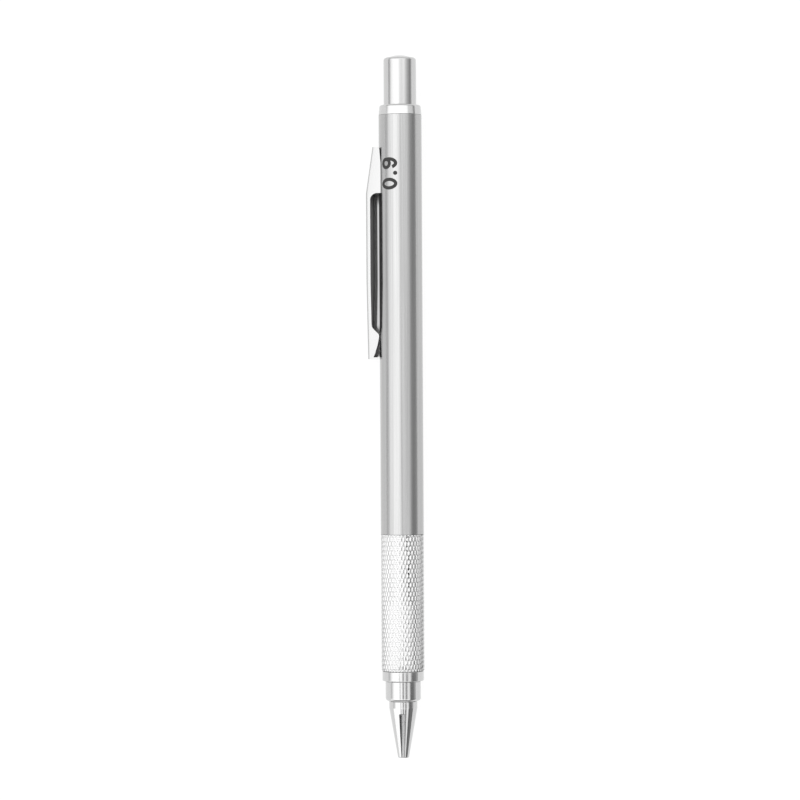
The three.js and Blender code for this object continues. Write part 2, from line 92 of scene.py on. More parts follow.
class Finish:
    """The node tree of a material or of the studio, filled by node()."""

    def __init__(self, name=None, tree=None):
        if tree is None:
            self.material = bpy.data.materials.new(name)
            self.material.use_nodes = True
            tree = self.material.node_tree
        self.tree = tree
        self.tree.nodes.clear()

    def node(self, kind, settings=None, inputs=None, output=0):
        made = self.tree.nodes.new(kind)
        for key, setting in (settings or {}).items():
            if key == "stops":
                ramp = made.color_ramp
                while len(ramp.elements) < len(setting):
                    ramp.elements.new(0.5)
                for element, (place, shade) in zip(ramp.elements, setting):
                    element.position = place
                    element.color = (shade, shade, shade, 1)
            else:
                setattr(made, key, setting)
        for key, value in (inputs or {}).items():
            if isinstance(value, Value):
                self.tree.links.new(value.socket, made.inputs[key])
            else:
                made.inputs[key].default_value = value
        return Value(self, made.outputs[output]) if len(made.outputs) else made

    def place(self):
        return self.node("ShaderNodeTexCoord", output="Object")

    def stretched(self, scale):
        return self.node(
            "ShaderNodeMapping", {"vector_type": "POINT"}, {"Vector": self.place(), "Scale": scale}
        )

    def along(self, axis):
        return self.node("ShaderNodeSeparateXYZ", {}, {0: self.place()}, output=axis)

    def noise(self, scale, detail=3.0):
        return self.node(
            "ShaderNodeTexNoise",
            {"noise_dimensions": "3D"},
            {"Vector": self.stretched(scale), "Scale": 1.0, "Detail": detail, "Roughness": 0.55},
            output="Fac",
        )

    def band(self, value, low, high):
        """0 below low and 1 above high, turning smoothly between."""
        return self.node(
            "ShaderNodeMapRange",
            {"interpolation_type": "SMOOTHSTEP"},
            {"Value": value, "From Min": low, "From Max": high, "To Min": 0.0, "To Max": 1.0},
        )

    def stretch(self, value, low, full, last, high):
        """1 from full to last and 0 outside low to high, turning smoothly between."""
        return self.band(value, low, full) * (1 - self.band(value, last, high))

    def shade(self, factor, none, full):
        """A colour that turns from none to full with a factor."""
        return self.node(
            "ShaderNodeMix",
            {"data_type": "RGBA"},
            {0: factor, 6: none + (1,), 7: full + (1,)},
            output=2,
        )

    def bump(self, height, strength, distance):
        return self.node(
            "ShaderNodeBump", {}, {"Height": height, "Strength": strength, "Distance": distance}
        )

    def surface(self, inputs):
        shader = self.node("ShaderNodeBsdfPrincipled", {}, inputs)
        self.node("ShaderNodeOutputMaterial", {}, {"Surface": shader})
        return self.material


def from_axis(finish):
    """How far a point lies from the holder's axis, in millimetres."""
    across = finish.node(
        "ShaderNodeVectorMath",
        {"operation": "MULTIPLY_ADD"},
        {0: finish.place(), 1: (1000, 0, 1000), 2: (-AXIS_X * 1000, 0, -AXIS_Z * 1000)},
    )
    return finish.node("ShaderNodeVectorMath", {"operation": "LENGTH"}, {0: across}, output="Value")


def brushed_steel():
    f = Finish("brushed_steel")
    fine = f.noise((5200, 24, 5200), 2.0)
    broad = f.noise((1500, 9, 1500), 3.0)
    smear = f.noise((190, 70, 190), 4.0)
    streaks = fine * 0.65 + broad * 0.35
    return f.surface(
        {
            "Base Color": f.shade(f.band(streaks, 0.3, 0.72), (0.43, 0.43, 0.43), (0.505, 0.505, 0.505)),
            "Metallic": 1.0,
            "Roughness": 0.13 + fine * 0.08 + smear * 0.05,
            "Normal": f.bump(streaks, 0.14, 0.00002),
        }
    )


def knurled_steel():
    f = Finish("knurled_steel")
    # Painted shade: the base colour is darker in the grooves between the diamonds than on their crests.
    crest = f.band(from_axis(f), 4.23, 4.33)
    grain = f.noise((2600, 2600, 2600), 3.0)
    smear = f.noise((230, 120, 230), 4.0)
    return f.surface(
        {
            "Base Color": f.shade(crest * 0.8 + grain * 0.2, (0.61, 0.61, 0.61), (0.69, 0.69, 0.69)),
            "Metallic": 1.0,
            "Roughness": 0.13 + (1 - crest) * 0.1 + smear * 0.06,
            "Normal": f.bump(grain, 0.12, 0.00001),
        }
    )


def turned_chrome(name="turned_chrome", tone=0.62, rough=0.05):
    """Bright plating over lathe-turned metal: faint rings round the axis, and a few rubbed patches."""
    f = Finish(name)
    rings = f.noise((60, 5200, 60), 2.0)
    rubbed = f.noise((260, 190, 260), 4.0)
    dust = f.band(f.noise((2400, 2400, 2400), 1.0), 0.62, 0.75)
    return f.surface(
        {
            "Base Color": f.shade(rubbed, (tone * 0.95,) * 3, (tone,) * 3),
            "Metallic": 1.0,
            "Roughness": rough + rings * 0.03 + rubbed * 0.05 + dust * 0.04,
            "Normal": f.bump(rings, 0.06, 0.00001),
        }
    )


def pressed_steel():
    """The clip's sheet, with fine polishing lines along it."""
    tone = 0.53
    f = Finish("pressed_steel")
    lines = f.noise((3800, 55, 3800), 2.0)
    rubbed = f.noise((300, 160, 300), 4.0)
    return f.surface(
        {
            "Base Color": f.shade(lines * 0.5 + rubbed * 0.5, (tone * 0.92,) * 3, (tone,) * 3),
            "Metallic": 1.0,
            "Roughness": 0.13 + lines * 0.08 + rubbed * 0.05,
            "Normal": f.bump(lines, 0.12, 0.00001),
        }
    )


def raw_sheet_with_painted_shade():
    """The clip's inner side, left as rolled: dull, with painted shade that darkens it towards its spine."""
    f = Finish("pressed_steel_inside_painted_shade")
    lines = f.noise((3800, 55, 3800), 2.0)
    # Painted shade: the base colour darkens towards the spine, deep in the channel.
    painted_spine_shade = f.band(from_axis(f), 5.2, 6.3)
    return f.surface(
        {
            "Base Color": f.shade(painted_spine_shade * 0.85 + lines * 0.15, (0.7, 0.7, 0.7), (0.22, 0.22, 0.22)),
            "Metallic": 1.0,
            "Roughness": 0.58 + lines * 0.1,
            "Normal": f.bump(lines, 0.12, 0.00001),
        }
    )


def spring_steel():
    f = Finish("spring_steel")
    drawn = f.noise((1500, 1500, 1500), 3.0)
    stain = f.noise((420, 420, 420), 4.0)
    return f.surface(
        {
            "Base Color": f.shade(stain, (0.30, 0.30, 0.30), (0.48, 0.48, 0.48)),
            "Metallic": 1.0,
            "Roughness": 0.24 + drawn * 0.14,
            "Normal": f.bump(drawn, 0.1, 0.00001),
        }
    )


def turned_brass():
    f = Finish("turned_brass")
    rings = f.noise((90, 4200, 90), 2.0)
    tarnish = f.noise((520, 520, 520), 4.0)
    return f.surface(
        {
            "Base Color": f.shade(f.band(tarnish, 0.35, 0.7), (0.60, 0.41, 0.16), (0.79, 0.60, 0.29)),
            "Metallic": 1.0,
            "Roughness": 0.2 + rings * 0.1 + tarnish * 0.1,
            "Normal": f.bump(rings, 0.12, 0.00002),
        }
    )


def moulded_plastic():
    f = Finish("moulded_plastic")
    grain = f.noise((3000, 3000, 3000), 3.0)
    flow = f.noise((160, 60, 160), 3.0)
    return f.surface(
        {
            "Base Color": f.shade(flow, (0.016, 0.016, 0.018), (0.03, 0.03, 0.033)),
            "Roughness": 0.4 + grain * 0.15 + flow * 0.05,
            "Normal": f.bump(grain, 0.15, 0.00002),
        }
    )


def black_rubber():
    f = Finish("black_rubber")
    grain = f.noise((2400, 2400, 2400), 4.0)
    return f.surface(
        {
            "Base Color": f.shade(grain, (0.010, 0.010, 0.011), (0.028, 0.028, 0.029)),
            "Roughness": 0.7 + grain * 0.2,
            "Normal": f.bump(grain, 0.3, 0.00003),
        }
    )


def white_eraser():
    """Soft white vinyl with a chalky grain and a little graphite picked up at its worn end."""
    f = Finish("white_eraser")
    grain = f.noise((1900, 1900, 1900), 4.0)
    worn = f.band(f.along("Y"), TIP_Y + 136.2 * MM, TIP_Y + 137.6 * MM)
    smudge = worn * f.band(f.noise((700, 700, 700), 4.0), 0.4, 0.75)
    return f.surface(
        {
            "Base Color": f.shade(smudge * 0.8 + grain * 0.1, (0.83, 0.82, 0.79), (0.42, 0.42, 0.43)),
            "Roughness": 0.72 + grain * 0.2,
            "Normal": f.bump(grain, 0.25, 0.00004),
        }
    )


def graphite():
    f = Finish("graphite")
    grain = f.noise((2600, 700, 2600), 3.0)
    return f.surface(
        {
            "Base Color": f.shade(grain, (0.035, 0.035, 0.038), (0.09, 0.09, 0.095)),
            "Metallic": 0.35,
            "Roughness": 0.3 + grain * 0.25,
            "Normal": f.bump(grain, 0.2, 0.00002),
        }
    )


def engraved_dark():
    """The burnt-in black of the size number."""
    f = Finish("engraved_dark")
    burn = f.noise((4200, 4200, 4200), 3.0)
    return f.surface(
        {
            "Base Color": f.shade(burn, (0.016, 0.016, 0.016), (0.05, 0.049, 0.047)),
            "Metallic": 0.2,
            "Roughness": 0.5 + burn * 0.25,
            "Normal": f.bump(burn, 0.2, 0.00001),
        }
    )


BRUSHED = brushed_steel()
KNURLED = knurled_steel()
CHROME = turned_chrome()
BUTTON_CHROME = turned_chrome("button_chrome", 0.6, 0.07)
DRAWN = turned_chrome("drawn_tube", 0.42, 0.2)
PRESSED = pressed_steel()
PRESSED_INSIDE_SHADED = raw_sheet_with_painted_shade()
SPRING = spring_steel()
BRASS = turned_brass()
PLASTIC = moulded_plastic()
RUBBER = black_rubber()
ERASER = white_eraser()
GRAPHITE = graphite()
ENGRAVED = engraved_dark()


# ---- Working on one piece
def start(name):
    """Names the primitive that was just added, from which a piece is drawn."""
    piece = bpy.context.object
    piece.name = name
    piece.data.name = name
    return piece


def only(piece):
    bpy.ops.object.select_all(action="DESELECT")
    piece.select_set(True)
    bpy.context.view_layer.objects.active = piece


def apply_modifier(piece, kind, **settings):
    only(piece)
    modifier = piece.modifiers.new(kind.lower(), kind)
    for key, setting in settings.items():
        setattr(modifier, key, setting)
    bpy.ops.object.modifier_apply(modifier=modifier.name)


def cut(piece, cutter, operation="DIFFERENCE"):
    apply_modifier(piece, "BOOLEAN", object=cutter, operation=operation, solver="EXACT")
    bpy.data.objects.remove(cutter)


def pick(piece, test, kind):
    """Selects the edges or the faces whose middle passes a test, in edit mode."""
    mesh = bmesh.from_edit_mesh(piece.data)
    for group in (mesh.verts, mesh.edges, mesh.faces):
        for element in group:
            element.select = False
    for element in getattr(mesh, kind):
        if kind == "edges":
            middle = (element.verts[0].co + element.verts[1].co) / 2
        else:
            middle = element.calc_center_median()
        if test(middle, element):
            element.select = True
    mesh.select_flush_mode()
    bmesh.update_edit_mesh(piece.data)


def soften(piece, width, angle):
    """Rounds the edges that are sharper than an angle in degrees."""
    apply_modifier(
        piece, "BEVEL", width=width, segments=2, limit_method="ANGLE", angle_limit=math.radians(angle),
        use_clamp_overlap=True,
    )


def close_up(piece, merge=0.0000005):
    """Merges doubles and turns the faces outwards."""
    only(piece)
    bpy.ops.object.mode_set(mode="EDIT")
    bpy.ops.mesh.select_mode(type="VERT")
    bpy.ops.mesh.select_all(action="SELECT")
    bpy.ops.mesh.remove_doubles(threshold=merge)
    bpy.ops.mesh.normals_make_consistent(inside=False)
    bpy.ops.object.mode_set(mode="OBJECT")


def done(piece, finish, body, nodes, smooth=32):
    """Gives a finished mesh its shading, finish and body, and hides the CAD nodes that it stands for."""
    only(piece)
    bpy.ops.object.shade_smooth_by_angle(angle=math.radians(smooth))
    piece.data.materials.clear()
    piece.data.materials.append(finish)
    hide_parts(*nodes)
    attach(piece, body)
    return piece


# ---- Turned pieces
SUPPORT = 0.03  # how far beyond a rounding its support points lie


def rounded(outline, steps=6):
    """An outline of (radius, place, edge rounding) corners as plain (radius, place) points.

    Each rounding is held by a point just beyond each of its ends, so that the straight parts stay straight in
    their shading as well.
    """
    points = []
    for i, (radius, place, edge) in enumerate(outline):
        here = Vector((radius, place))
        if not edge:
            points.append(here)
            continue
        to_last = Vector(outline[i - 1][:2]) - here
        to_next = Vector(outline[(i + 1) % len(outline)][:2]) - here
        back, on = to_last.normalized(), to_next.normalized()
        half = back.angle(on) / 2
        reach = min(edge / math.tan(half), 0.49 * to_last.length, 0.49 * to_next.length)
        edge = reach * math.tan(half)
        centre = here + (back + on).normalized() * (edge / math.sin(half))
        first, last = here + back * reach - centre, here + on * reach - centre
        turn_by = first.angle_signed(last)
        if to_last.length > 2 * reach + 4 * SUPPORT:
            points.append(here + back * (reach + SUPPORT))
        for step in range(steps + 1):
            spoke = first.copy()
            spoke.rotate(Matrix.Rotation(-turn_by * step / steps, 2))
            points.append(centre + spoke)
        if to_next.length > 2 * reach + 4 * SUPPORT:
            points.append(here + on * (reach + SUPPORT))
    return points


def turn(name, outline, sides=FINE, sweep=360.0, first_turn=0.0):
    """A turned piece: an outline drawn beside the axis by extruding a point, and spun round the axis.

    An outline that starts on the axis stays open there. A piece that sweeps less than 360 degrees gets flat
    ends, and is then turned round the axis by first_turn.
    """
    points = rounded(outline)
    closed = outline[0][0] > 0
    bpy.ops.object.select_all(action="DESELECT")
    bpy.ops.mesh.primitive_plane_add(size=MM, location=(0, 0, 0))
    piece = start(name)
    bpy.ops.object.mode_set(mode="EDIT")
    bpy.ops.mesh.select_mode(type="VERT")
    bpy.ops.mesh.merge(type="CENTER")
    bpy.ops.transform.translate(value=(AXIS_X + points[0].x * MM, TIP_Y + points[0].y * MM, AXIS_Z))
    for here, there in zip(points, points[1:]):
        step = (there - here) * MM
        bpy.ops.mesh.extrude_vertices_move(TRANSFORM_OT_translate={"value": (step.x, step.y, 0)})
    if closed:
        mesh = bmesh.from_edit_mesh(piece.data)
        mesh.verts.ensure_lookup_table()
        ends = [v for v in mesh.verts if len(v.link_edges) == 1]
        mesh.edges.new(ends)
        bmesh.update_edit_mesh(piece.data)
    bpy.ops.mesh.select_all(action="SELECT")
    bpy.ops.mesh.spin(steps=sides, angle=math.radians(sweep), center=tuple(AXIS), axis=(0, 1, 0))
    if sweep < 360:
        bpy.ops.mesh.select_all(action="SELECT")
        bpy.ops.mesh.remove_doubles(threshold=0.0000002)
        bpy.ops.mesh.fill_holes(sides=0)
    bpy.ops.object.mode_set(mode="OBJECT")
    if first_turn:
        swing = Matrix.Translation(AXIS) @ Matrix.Rotation(first_turn, 4, "Y") @ Matrix.Translation(-AXIS)
        piece.data.transform(swing)
    close_up(piece)
    return piece


def tube(outer, bore, base, top, edge, bore_edge=0.04):
    return [(bore, base, bore_edge), (outer, base, edge), (outer, top, edge), (bore, top, bore_edge)]


# ---- Barrel and top ring
done(
    turn("barrel_shell", tube(BARREL_R, 3.75, BARREL_BASE, RING_BASE - 0.02, 0.04), FINEST),
    BRUSHED, "barrel", ["barrel_tube"],
)
done(
    turn("bush", [
        (2.95, 39, 0.12), (3.35, 39, 0.12), (3.35, BARREL_BASE, 0), (3.7, BARREL_BASE, 0.05), (3.7, 51, 0.15),
        (2.95, 51, 0.1),
    ]),
    BRASS, "barrel", ["barrel_bush"],
)
done(
    turn("end_ring", [
        (3.4, 124.5, 0.08), (3.7, 124.5, 0.12), (3.7, RING_BASE, 0), (BARREL_R, RING_BASE, 0.05),
        (BARREL_R - 0.18, RING_TOP + 0.2, 0.65), (3.4, RING_TOP + 0.2, 0.1),
    ], FINEST),
    CHROME, "barrel", ["top_ring"],
)


# ---- The knurled grip: rows of diamonds laid out flat, wrapped round the sleeve, and joined to its bore
KNURL_STARTS = 38
KNURL_PITCH = 1.84
KNURL_DEPTH = 0.135
KNURL_SLOPE = 0.25  # width of each diamond's sloping side
GRIP_BORE = 3.4
GRIP_BASE, GRIP_TOP = 17.6, 45.19
ROOT_R = BARREL_R - KNURL_DEPTH


def knurled_grip():
    """The knurled sleeve. Known fault: its mesh isn't closed.

    Smoothing a diamond draws its corners in, which leaves a small hole wherever four diamonds meet. The steps
    that build the bore pick every open edge, so they also draw stray walls inwards from these holes.
    """
    wide = 2 * math.pi * BARREL_R / KNURL_STARTS
    rows = math.ceil((GRIP_TOP - GRIP_BASE) / KNURL_PITCH) + 2
    bpy.ops.object.select_all(action="DESELECT")
    bpy.ops.mesh.primitive_circle_add(vertices=4, radius=0.5, fill_type="NGON", location=(0, 0, 0))
    grip = start("knurled_grip")
    bpy.ops.object.mode_set(mode="EDIT")
    bpy.ops.mesh.select_all(action="SELECT")
    bpy.ops.transform.resize(value=(wide, KNURL_PITCH, 1))
    bpy.ops.mesh.inset(thickness=KNURL_SLOPE)
    bpy.ops.transform.translate(value=(0, 0, KNURL_DEPTH))
    bpy.ops.object.mode_set(mode="OBJECT")
    apply_modifier(grip, "SUBSURF", levels=1, render_levels=1, boundary_smooth="PRESERVE_CORNERS")
    crest = max(v.co.z for v in grip.data.vertices)
    for v in grip.data.vertices:
        v.co.z *= KNURL_DEPTH / crest
    repeats = (
        (KNURL_STARTS, (wide, 0, 0)), (rows, (0, KNURL_PITCH, 0)), (2, (wide / 2, KNURL_PITCH / 2, 0)),
    )
    for count, offset in repeats:
        apply_modifier(
            grip, "ARRAY", count=count, use_relative_offset=False, use_constant_offset=True,
            constant_offset_displace=offset,
        )
    for v in grip.data.vertices:
        v.co.y += GRIP_BASE - KNURL_PITCH
    close_up(grip, 0.002)
    only(grip)
    bpy.ops.object.mode_set(mode="EDIT")
    for place, side in ((GRIP_BASE + 0.16, -1), (GRIP_TOP - 0.05, 1)):
        bpy.ops.mesh.select_all(action="SELECT")
        bpy.ops.mesh.bisect(
            plane_co=(0, place, 0), plane_no=(0, 1, 0), clear_inner=side < 0, clear_outer=side > 0
        )
    bpy.ops.object.mode_set(mode="OBJECT")
    for v in grip.data.vertices:
        around = v.co.x / BARREL_R
        reach = (ROOT_R + v.co.z) * MM
        v.co = (AXIS_X + reach * math.sin(around), TIP_Y + v.co.y * MM, AXIS_Z + reach * math.cos(around))
    close_up(grip, 0.000002)

    bpy.ops.object.mode_set(mode="EDIT")
    bpy.ops.mesh.select_mode(type="VERT")
    middle = TIP_Y + (GRIP_BASE + GRIP_TOP) / 2 * MM
    pick(grip, lambda p, e: e.is_boundary and p.y < middle, "edges")
    inside = [
        (ROOT_R - 0.06, GRIP_BASE), (GRIP_BORE + 0.05, GRIP_BASE), (GRIP_BORE, GRIP_BASE + 0.05),
        (GRIP_BORE, 25.4), (3.0, 25.4), (3.0, 27.4), (GRIP_BORE, 27.4), (GRIP_BORE, GRIP_TOP),
    ]
    for radius, place in inside:
        bpy.ops.mesh.extrude_region_move(TRANSFORM_OT_translate={"value": (0, 0, 0)})
        mesh = bmesh.from_edit_mesh(grip.data)
        for v in mesh.verts:
            if v.select:
                spoke = Vector((v.co.x - AXIS_X, 0, v.co.z - AXIS_Z)).normalized() * radius * MM
                v.co = AXIS + spoke + Vector((0, TIP_Y + place * MM, 0))
        bmesh.update_edit_mesh(grip.data)
    pick(grip, lambda p, e: e.is_boundary, "edges")
    bpy.ops.mesh.bridge_edge_loops()
    bpy.ops.object.mode_set(mode="OBJECT")
    close_up(grip)
    return grip


done(knurled_grip(), KNURLED, "barrel", ["grip_sleeve"], smooth=30)


# ---- Nose
SLOT_TOP = 8.95
SLOT_TOP_WIDTH = 1.15
SLOT_TIP_WIDTH = 0.55
SLOT_TURN = math.radians(-7)


def slot_cutter(angle):
    """A bar whose sides spread upwards, from the axis out past the cone, with its upper edge rounded."""
    bpy.ops.object.select_all(action="DESELECT")
    bpy.ops.mesh.primitive_cube_add(size=1, location=(0, 0, 0))
    cutter = start("slot_cutter")
    for v in cutter.data.vertices:
        upper = v.co.y > 0
        width = SLOT_TOP_WIDTH if upper else SLOT_TIP_WIDTH
        v.co = (v.co.x * width * MM, (SLOT_TOP if upper else -1) * MM, (v.co.z + 0.5) * 4 * MM)
    only(cutter)
    bpy.ops.object.mode_set(mode="EDIT")
    bpy.ops.mesh.select_mode(type="EDGE")
    pick(
        cutter,
        lambda p, e: p.y > SLOT_TOP * MM * 0.99 and abs(p.x) > 0.4 * MM and abs(p.z - 2 * MM) < MM,
        "edges",
    )
    bpy.ops.mesh.bevel(offset=0.22 * MM, segments=4, affect="EDGES")
    bpy.ops.object.mode_set(mode="OBJECT")
    cutter.data.transform(
        Matrix.Translation((AXIS_X, TIP_Y, AXIS_Z)) @ Matrix.Rotation(angle, 4, "Y")
    )
    return cutter


def nose_tip():
    """The cone, with the rings of its slope close together near the slots' ends, and its three slots."""
    end, shoulder, length = 1.1, 2.85, 10.1
    slope = [(end + (shoulder - end) * place / length, place, 0) for place in (3, 6, 8.6, 9.15, 9.5)]
    tip = turn("nose_tip", [
        (0.79, 0, 0.04), (end, 0, 0.28), *slope, (shoulder, length, 0.3), (shoulder, 11.45, 0.08),
        (2.4, 11.45, 0), (2.4, 14.5, 0.12), (1.98, 14.5, 0.06), (1.98, 11.55, 0), (1.45, 11.55, 0),
        (1.45, 9.95, 0), (0.79, 9.95, 0),
    ], FINEST)
    for i in range(3):
        cut(tip, slot_cutter(SLOT_TURN + i * 2 * math.pi / 3))
    soften(tip, 0.035 * MM, 50)
    return tip


def thread(radius, depth, base, top, pitch):
    """Outline corners of a screw thread's ridges, from base to top."""
    half_root, half_crest = 0.05, 0.04
    corners = []
    for i in range(int((top - base) / pitch)):
        corners.append((radius - depth, base + i * pitch + half_root, 0))
        corners.append((radius, base + i * pitch + pitch / 2 - half_crest, 0))
        corners.append((radius, base + i * pitch + pitch / 2 + half_crest, 0))
        corners.append((radius - depth, base + (i + 1) * pitch - half_root, 0))
    return corners


done(nose_tip(), CHROME, "nose", ["nose_cone"])
done(
    turn("collar", [
        (2.45, 11.55, 0.05), (3.57, 11.55, 0.74), (3.57, 15.44, 0.03), (3.4, 15.5, 0), (3.4, 15.6, 0),
        (4.2, 15.6, 0.16), (4.2, 17.55, 0.1), (3.1, 17.55, 0), (3.1, 18.0, 0),
        *thread(3.3, 0.2, 18.0, 23.9, 0.5), (3.1, 24.25, 0.05), (2.55, 24.25, 0.05), (2.55, 14.55, 0),
        (2.45, 14.55, 0),
    ], FINEST),
    CHROME, "nose", ["nose_collar"], smooth=28,
)
done(
    turn("guide_tube", tube(0.74, 0.5, 0.03, 9.9, 0.14, 0.05), 64),
    DRAWN, "nose", ["lead_guide_sleeve"],
)
done(
    turn("retainer", tube(1.4, 0.5, 10.0, 11.5, 0.2, 0.1), PLAIN),
    RUBBER, "nose", ["lead_retainer"],
)


# ---- Clutch
JAW_TURN = 120.0
JAW_SAW = 11.0  # degrees of each third that the saw cut takes away

done(
    turn("housing", [
        (2.15, 14.8, 0.05), (2.5, 14.8, 0.1), (2.5, 24.35, 0), (3.3, 24.35, 0.08), (3.3, 25.35, 0.08),
        (2.5, 25.35, 0), (2.5, 31, 0.1), (2.15, 31, 0.05), (2.15, 21.3, 0), (1.5, 21.3, 0.05),
        (1.5, 20.6, 0.05), (2.15, 20.6, 0),
    ], PLAIN),
    PLASTIC, "barrel", ["clutch_housing"],
)
done(
    turn("clutch_sleeve", [
        (1.6, 16.9, 0), (2.1, 16.9, 0.1), (2.1, 19.8, 0.1), (1.35, 19.8, 0.05), (1.35, 17.7, 0),
    ], PLAIN),
    BRASS, "ring", ["clutch_ring"],
)
for i in range(3):
    jaw = turn("jaw_" + "abc"[i], [
        (0.5, 15.5, 0), (1.25, 15.5, 0.06), (1.6, 15.85, 0.08), (1.6, 16.6, 0.08), (1.1, 17.6, 0.2),
        (1.1, 25.9, 0.05), (0.64, 25.9, 0), (0.64, 20.6, 0), (0.5, 20.2, 0),
    ], 24, JAW_TURN - JAW_SAW, math.radians((JAW_TURN - JAW_SAW) / 2 - 90 - i * JAW_TURN))
    done(jaw, BRASS, "jaw_" + str(i + 1), ["clutch_jaw_" + str(i + 1)])
done(
    turn("clutch_stem", [
        (0.5, 26, 0), (1.2, 26, 0.05), (1.2, 30.6, 0.15), (2.05, 30.6, 0.1), (2.05, 38, 0.12), (1.7, 38, 0.1),
        (0.5, 30.6, 0.3),
    ], PLAIN),
    BRASS, "feed", ["clutch_body"],
)


def coil_spring():
    """Spring wire wound between its two seats, its end turns drawn together."""
    low, high, turns, radius, wire_r = 21.5, 30.4, 9.0, 1.72, 0.16
    wire = bpy.data.curves.new("return_wire", "CURVE")
    wire.dimensions = "3D"
    wire.bevel_depth = wire_r * MM
    wire.bevel_resolution = 3
    wire.use_fill_caps = True
    count = int(turns * 28)
    line = wire.splines.new("POLY")
    line.points.add(count)
    for i in range(count + 1):
        share = i / count
        eased = share - 0.045 * math.sin(2 * math.pi * share)
        angle = share * turns * 2 * math.pi
        line.points[i].co = (
            AXIS_X + radius * MM * math.cos(angle),
            TIP_Y + (low + wire_r + eased * (high - low - 2 * wire_r)) * MM,
            AXIS_Z + radius * MM * math.sin(angle),
            1,
        )
    spring = bpy.data.objects.new("return_wire", wire)
    bpy.context.scene.collection.objects.link(spring)
    only(spring)
    bpy.ops.object.convert(target="MESH")
    spring = bpy.context.object
    close_up(spring, 0.0000001)
    return spring


spring = done(coil_spring(), SPRING, "barrel", ["return_spring"], smooth=50)
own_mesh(spring)


# ---- Reservoir, leads, eraser and button
def lead(name, radius, turns, base):
    """A lead, its ends broken clean with a small rounding, set off the axis by a radius."""
    thick, top = 0.45, base + 60
    rod = turn(name, [(0, base, 0), (thick, base, 0.06), (thick, top, 0.06), (0, top, 0)], 32)
    angle = turns * 2 * math.pi
    rod.data.transform(Matrix.Translation((radius * math.cos(angle) * MM, 0, radius * math.sin(angle) * MM)))
    return rod


done(
    turn("reservoir", tube(2.6, 2.2, 35, 133, 0.08, 0.05), 128),
    PLASTIC, "feed", ["lead_tube"],
)
done(lead("lead", 0, 0, 0.3), GRAPHITE, "lead", ["lead_in_use"])
done(lead("spare_a", 1.35, 0.2, 48), GRAPHITE, "feed", ["spare_lead_1"])
done(lead("spare_b", 1.35, 0.62, 48), GRAPHITE, "feed", ["spare_lead_2"])
done(
    turn("eraser_cup", [
        (1.9, 128, 0.04), (2.15, 128, 0.06), (2.15, 133.05, 0), (2.6, 133.05, 0.08), (2.6, 133.8, 0.12),
        (1.9, 133.8, 0.06),
    ], PLAIN),
    SPRING, "plug", ["eraser_holder"],
)
done(
    turn("eraser_stick", [(0, 128.3, 0), (1.85, 128.3, 0.1), (1.85, 137.5, 0.4), (0, 137.5, 0)], PLAIN),
    ERASER, "plug", ["eraser"],
)
done(
    turn("button_cap", [
        (0, 140.3, 0), (2.9, 140.3, 0.3), (2.9, 125, 0.05), (3.3, 125, 0.08), (3.3, 141.5, 0.72),
        (2.35, 141.62, 0.6), (1.15, 142, 2.5), (0, 142, 0),
    ], FINEST),
    BUTTON_CHROME, "button", ["push_button"],
)


# ---- Clip
# It is drawn standing up from the barrel: x is its width, y the place along the holder and z the height from
# the holder's axis, all in millimetres. clip_place then sets it on its side of the barrel, in metres.
clip_place = Matrix(
    (
        (-math.sin(CLIP_TURN), 0, -math.cos(CLIP_TURN), AXIS_X / MM),
        (0, 1, 0, TIP_Y / MM),
        (math.cos(CLIP_TURN), 0, -math.sin(CLIP_TURN), AXIS_Z / MM),
        (0, 0, 0, 1),
    )
)
clip_place = Matrix.Scale(MM, 4) @ clip_place
SHEET = 0.35
CLIP_TAIL, CLIP_TOP = 80.65, 123.45
CLIP_HEIGHT, CLIP_TOP_HEIGHT = 6.58, 5.18
CLIP_RAMP, CLIP_TAPER = 114.15, 96.15
CLIP_HALF, CLIP_TAIL_HALF = 2.8, 1.75
CLIP_LIFT = 0.05  # how far the clip stays off the barrel
CLIP_HINGE = Vector((0, 120.15, 4.45))
CLIP_ROCK = 5
FLAP_HEIGHT = 3.9


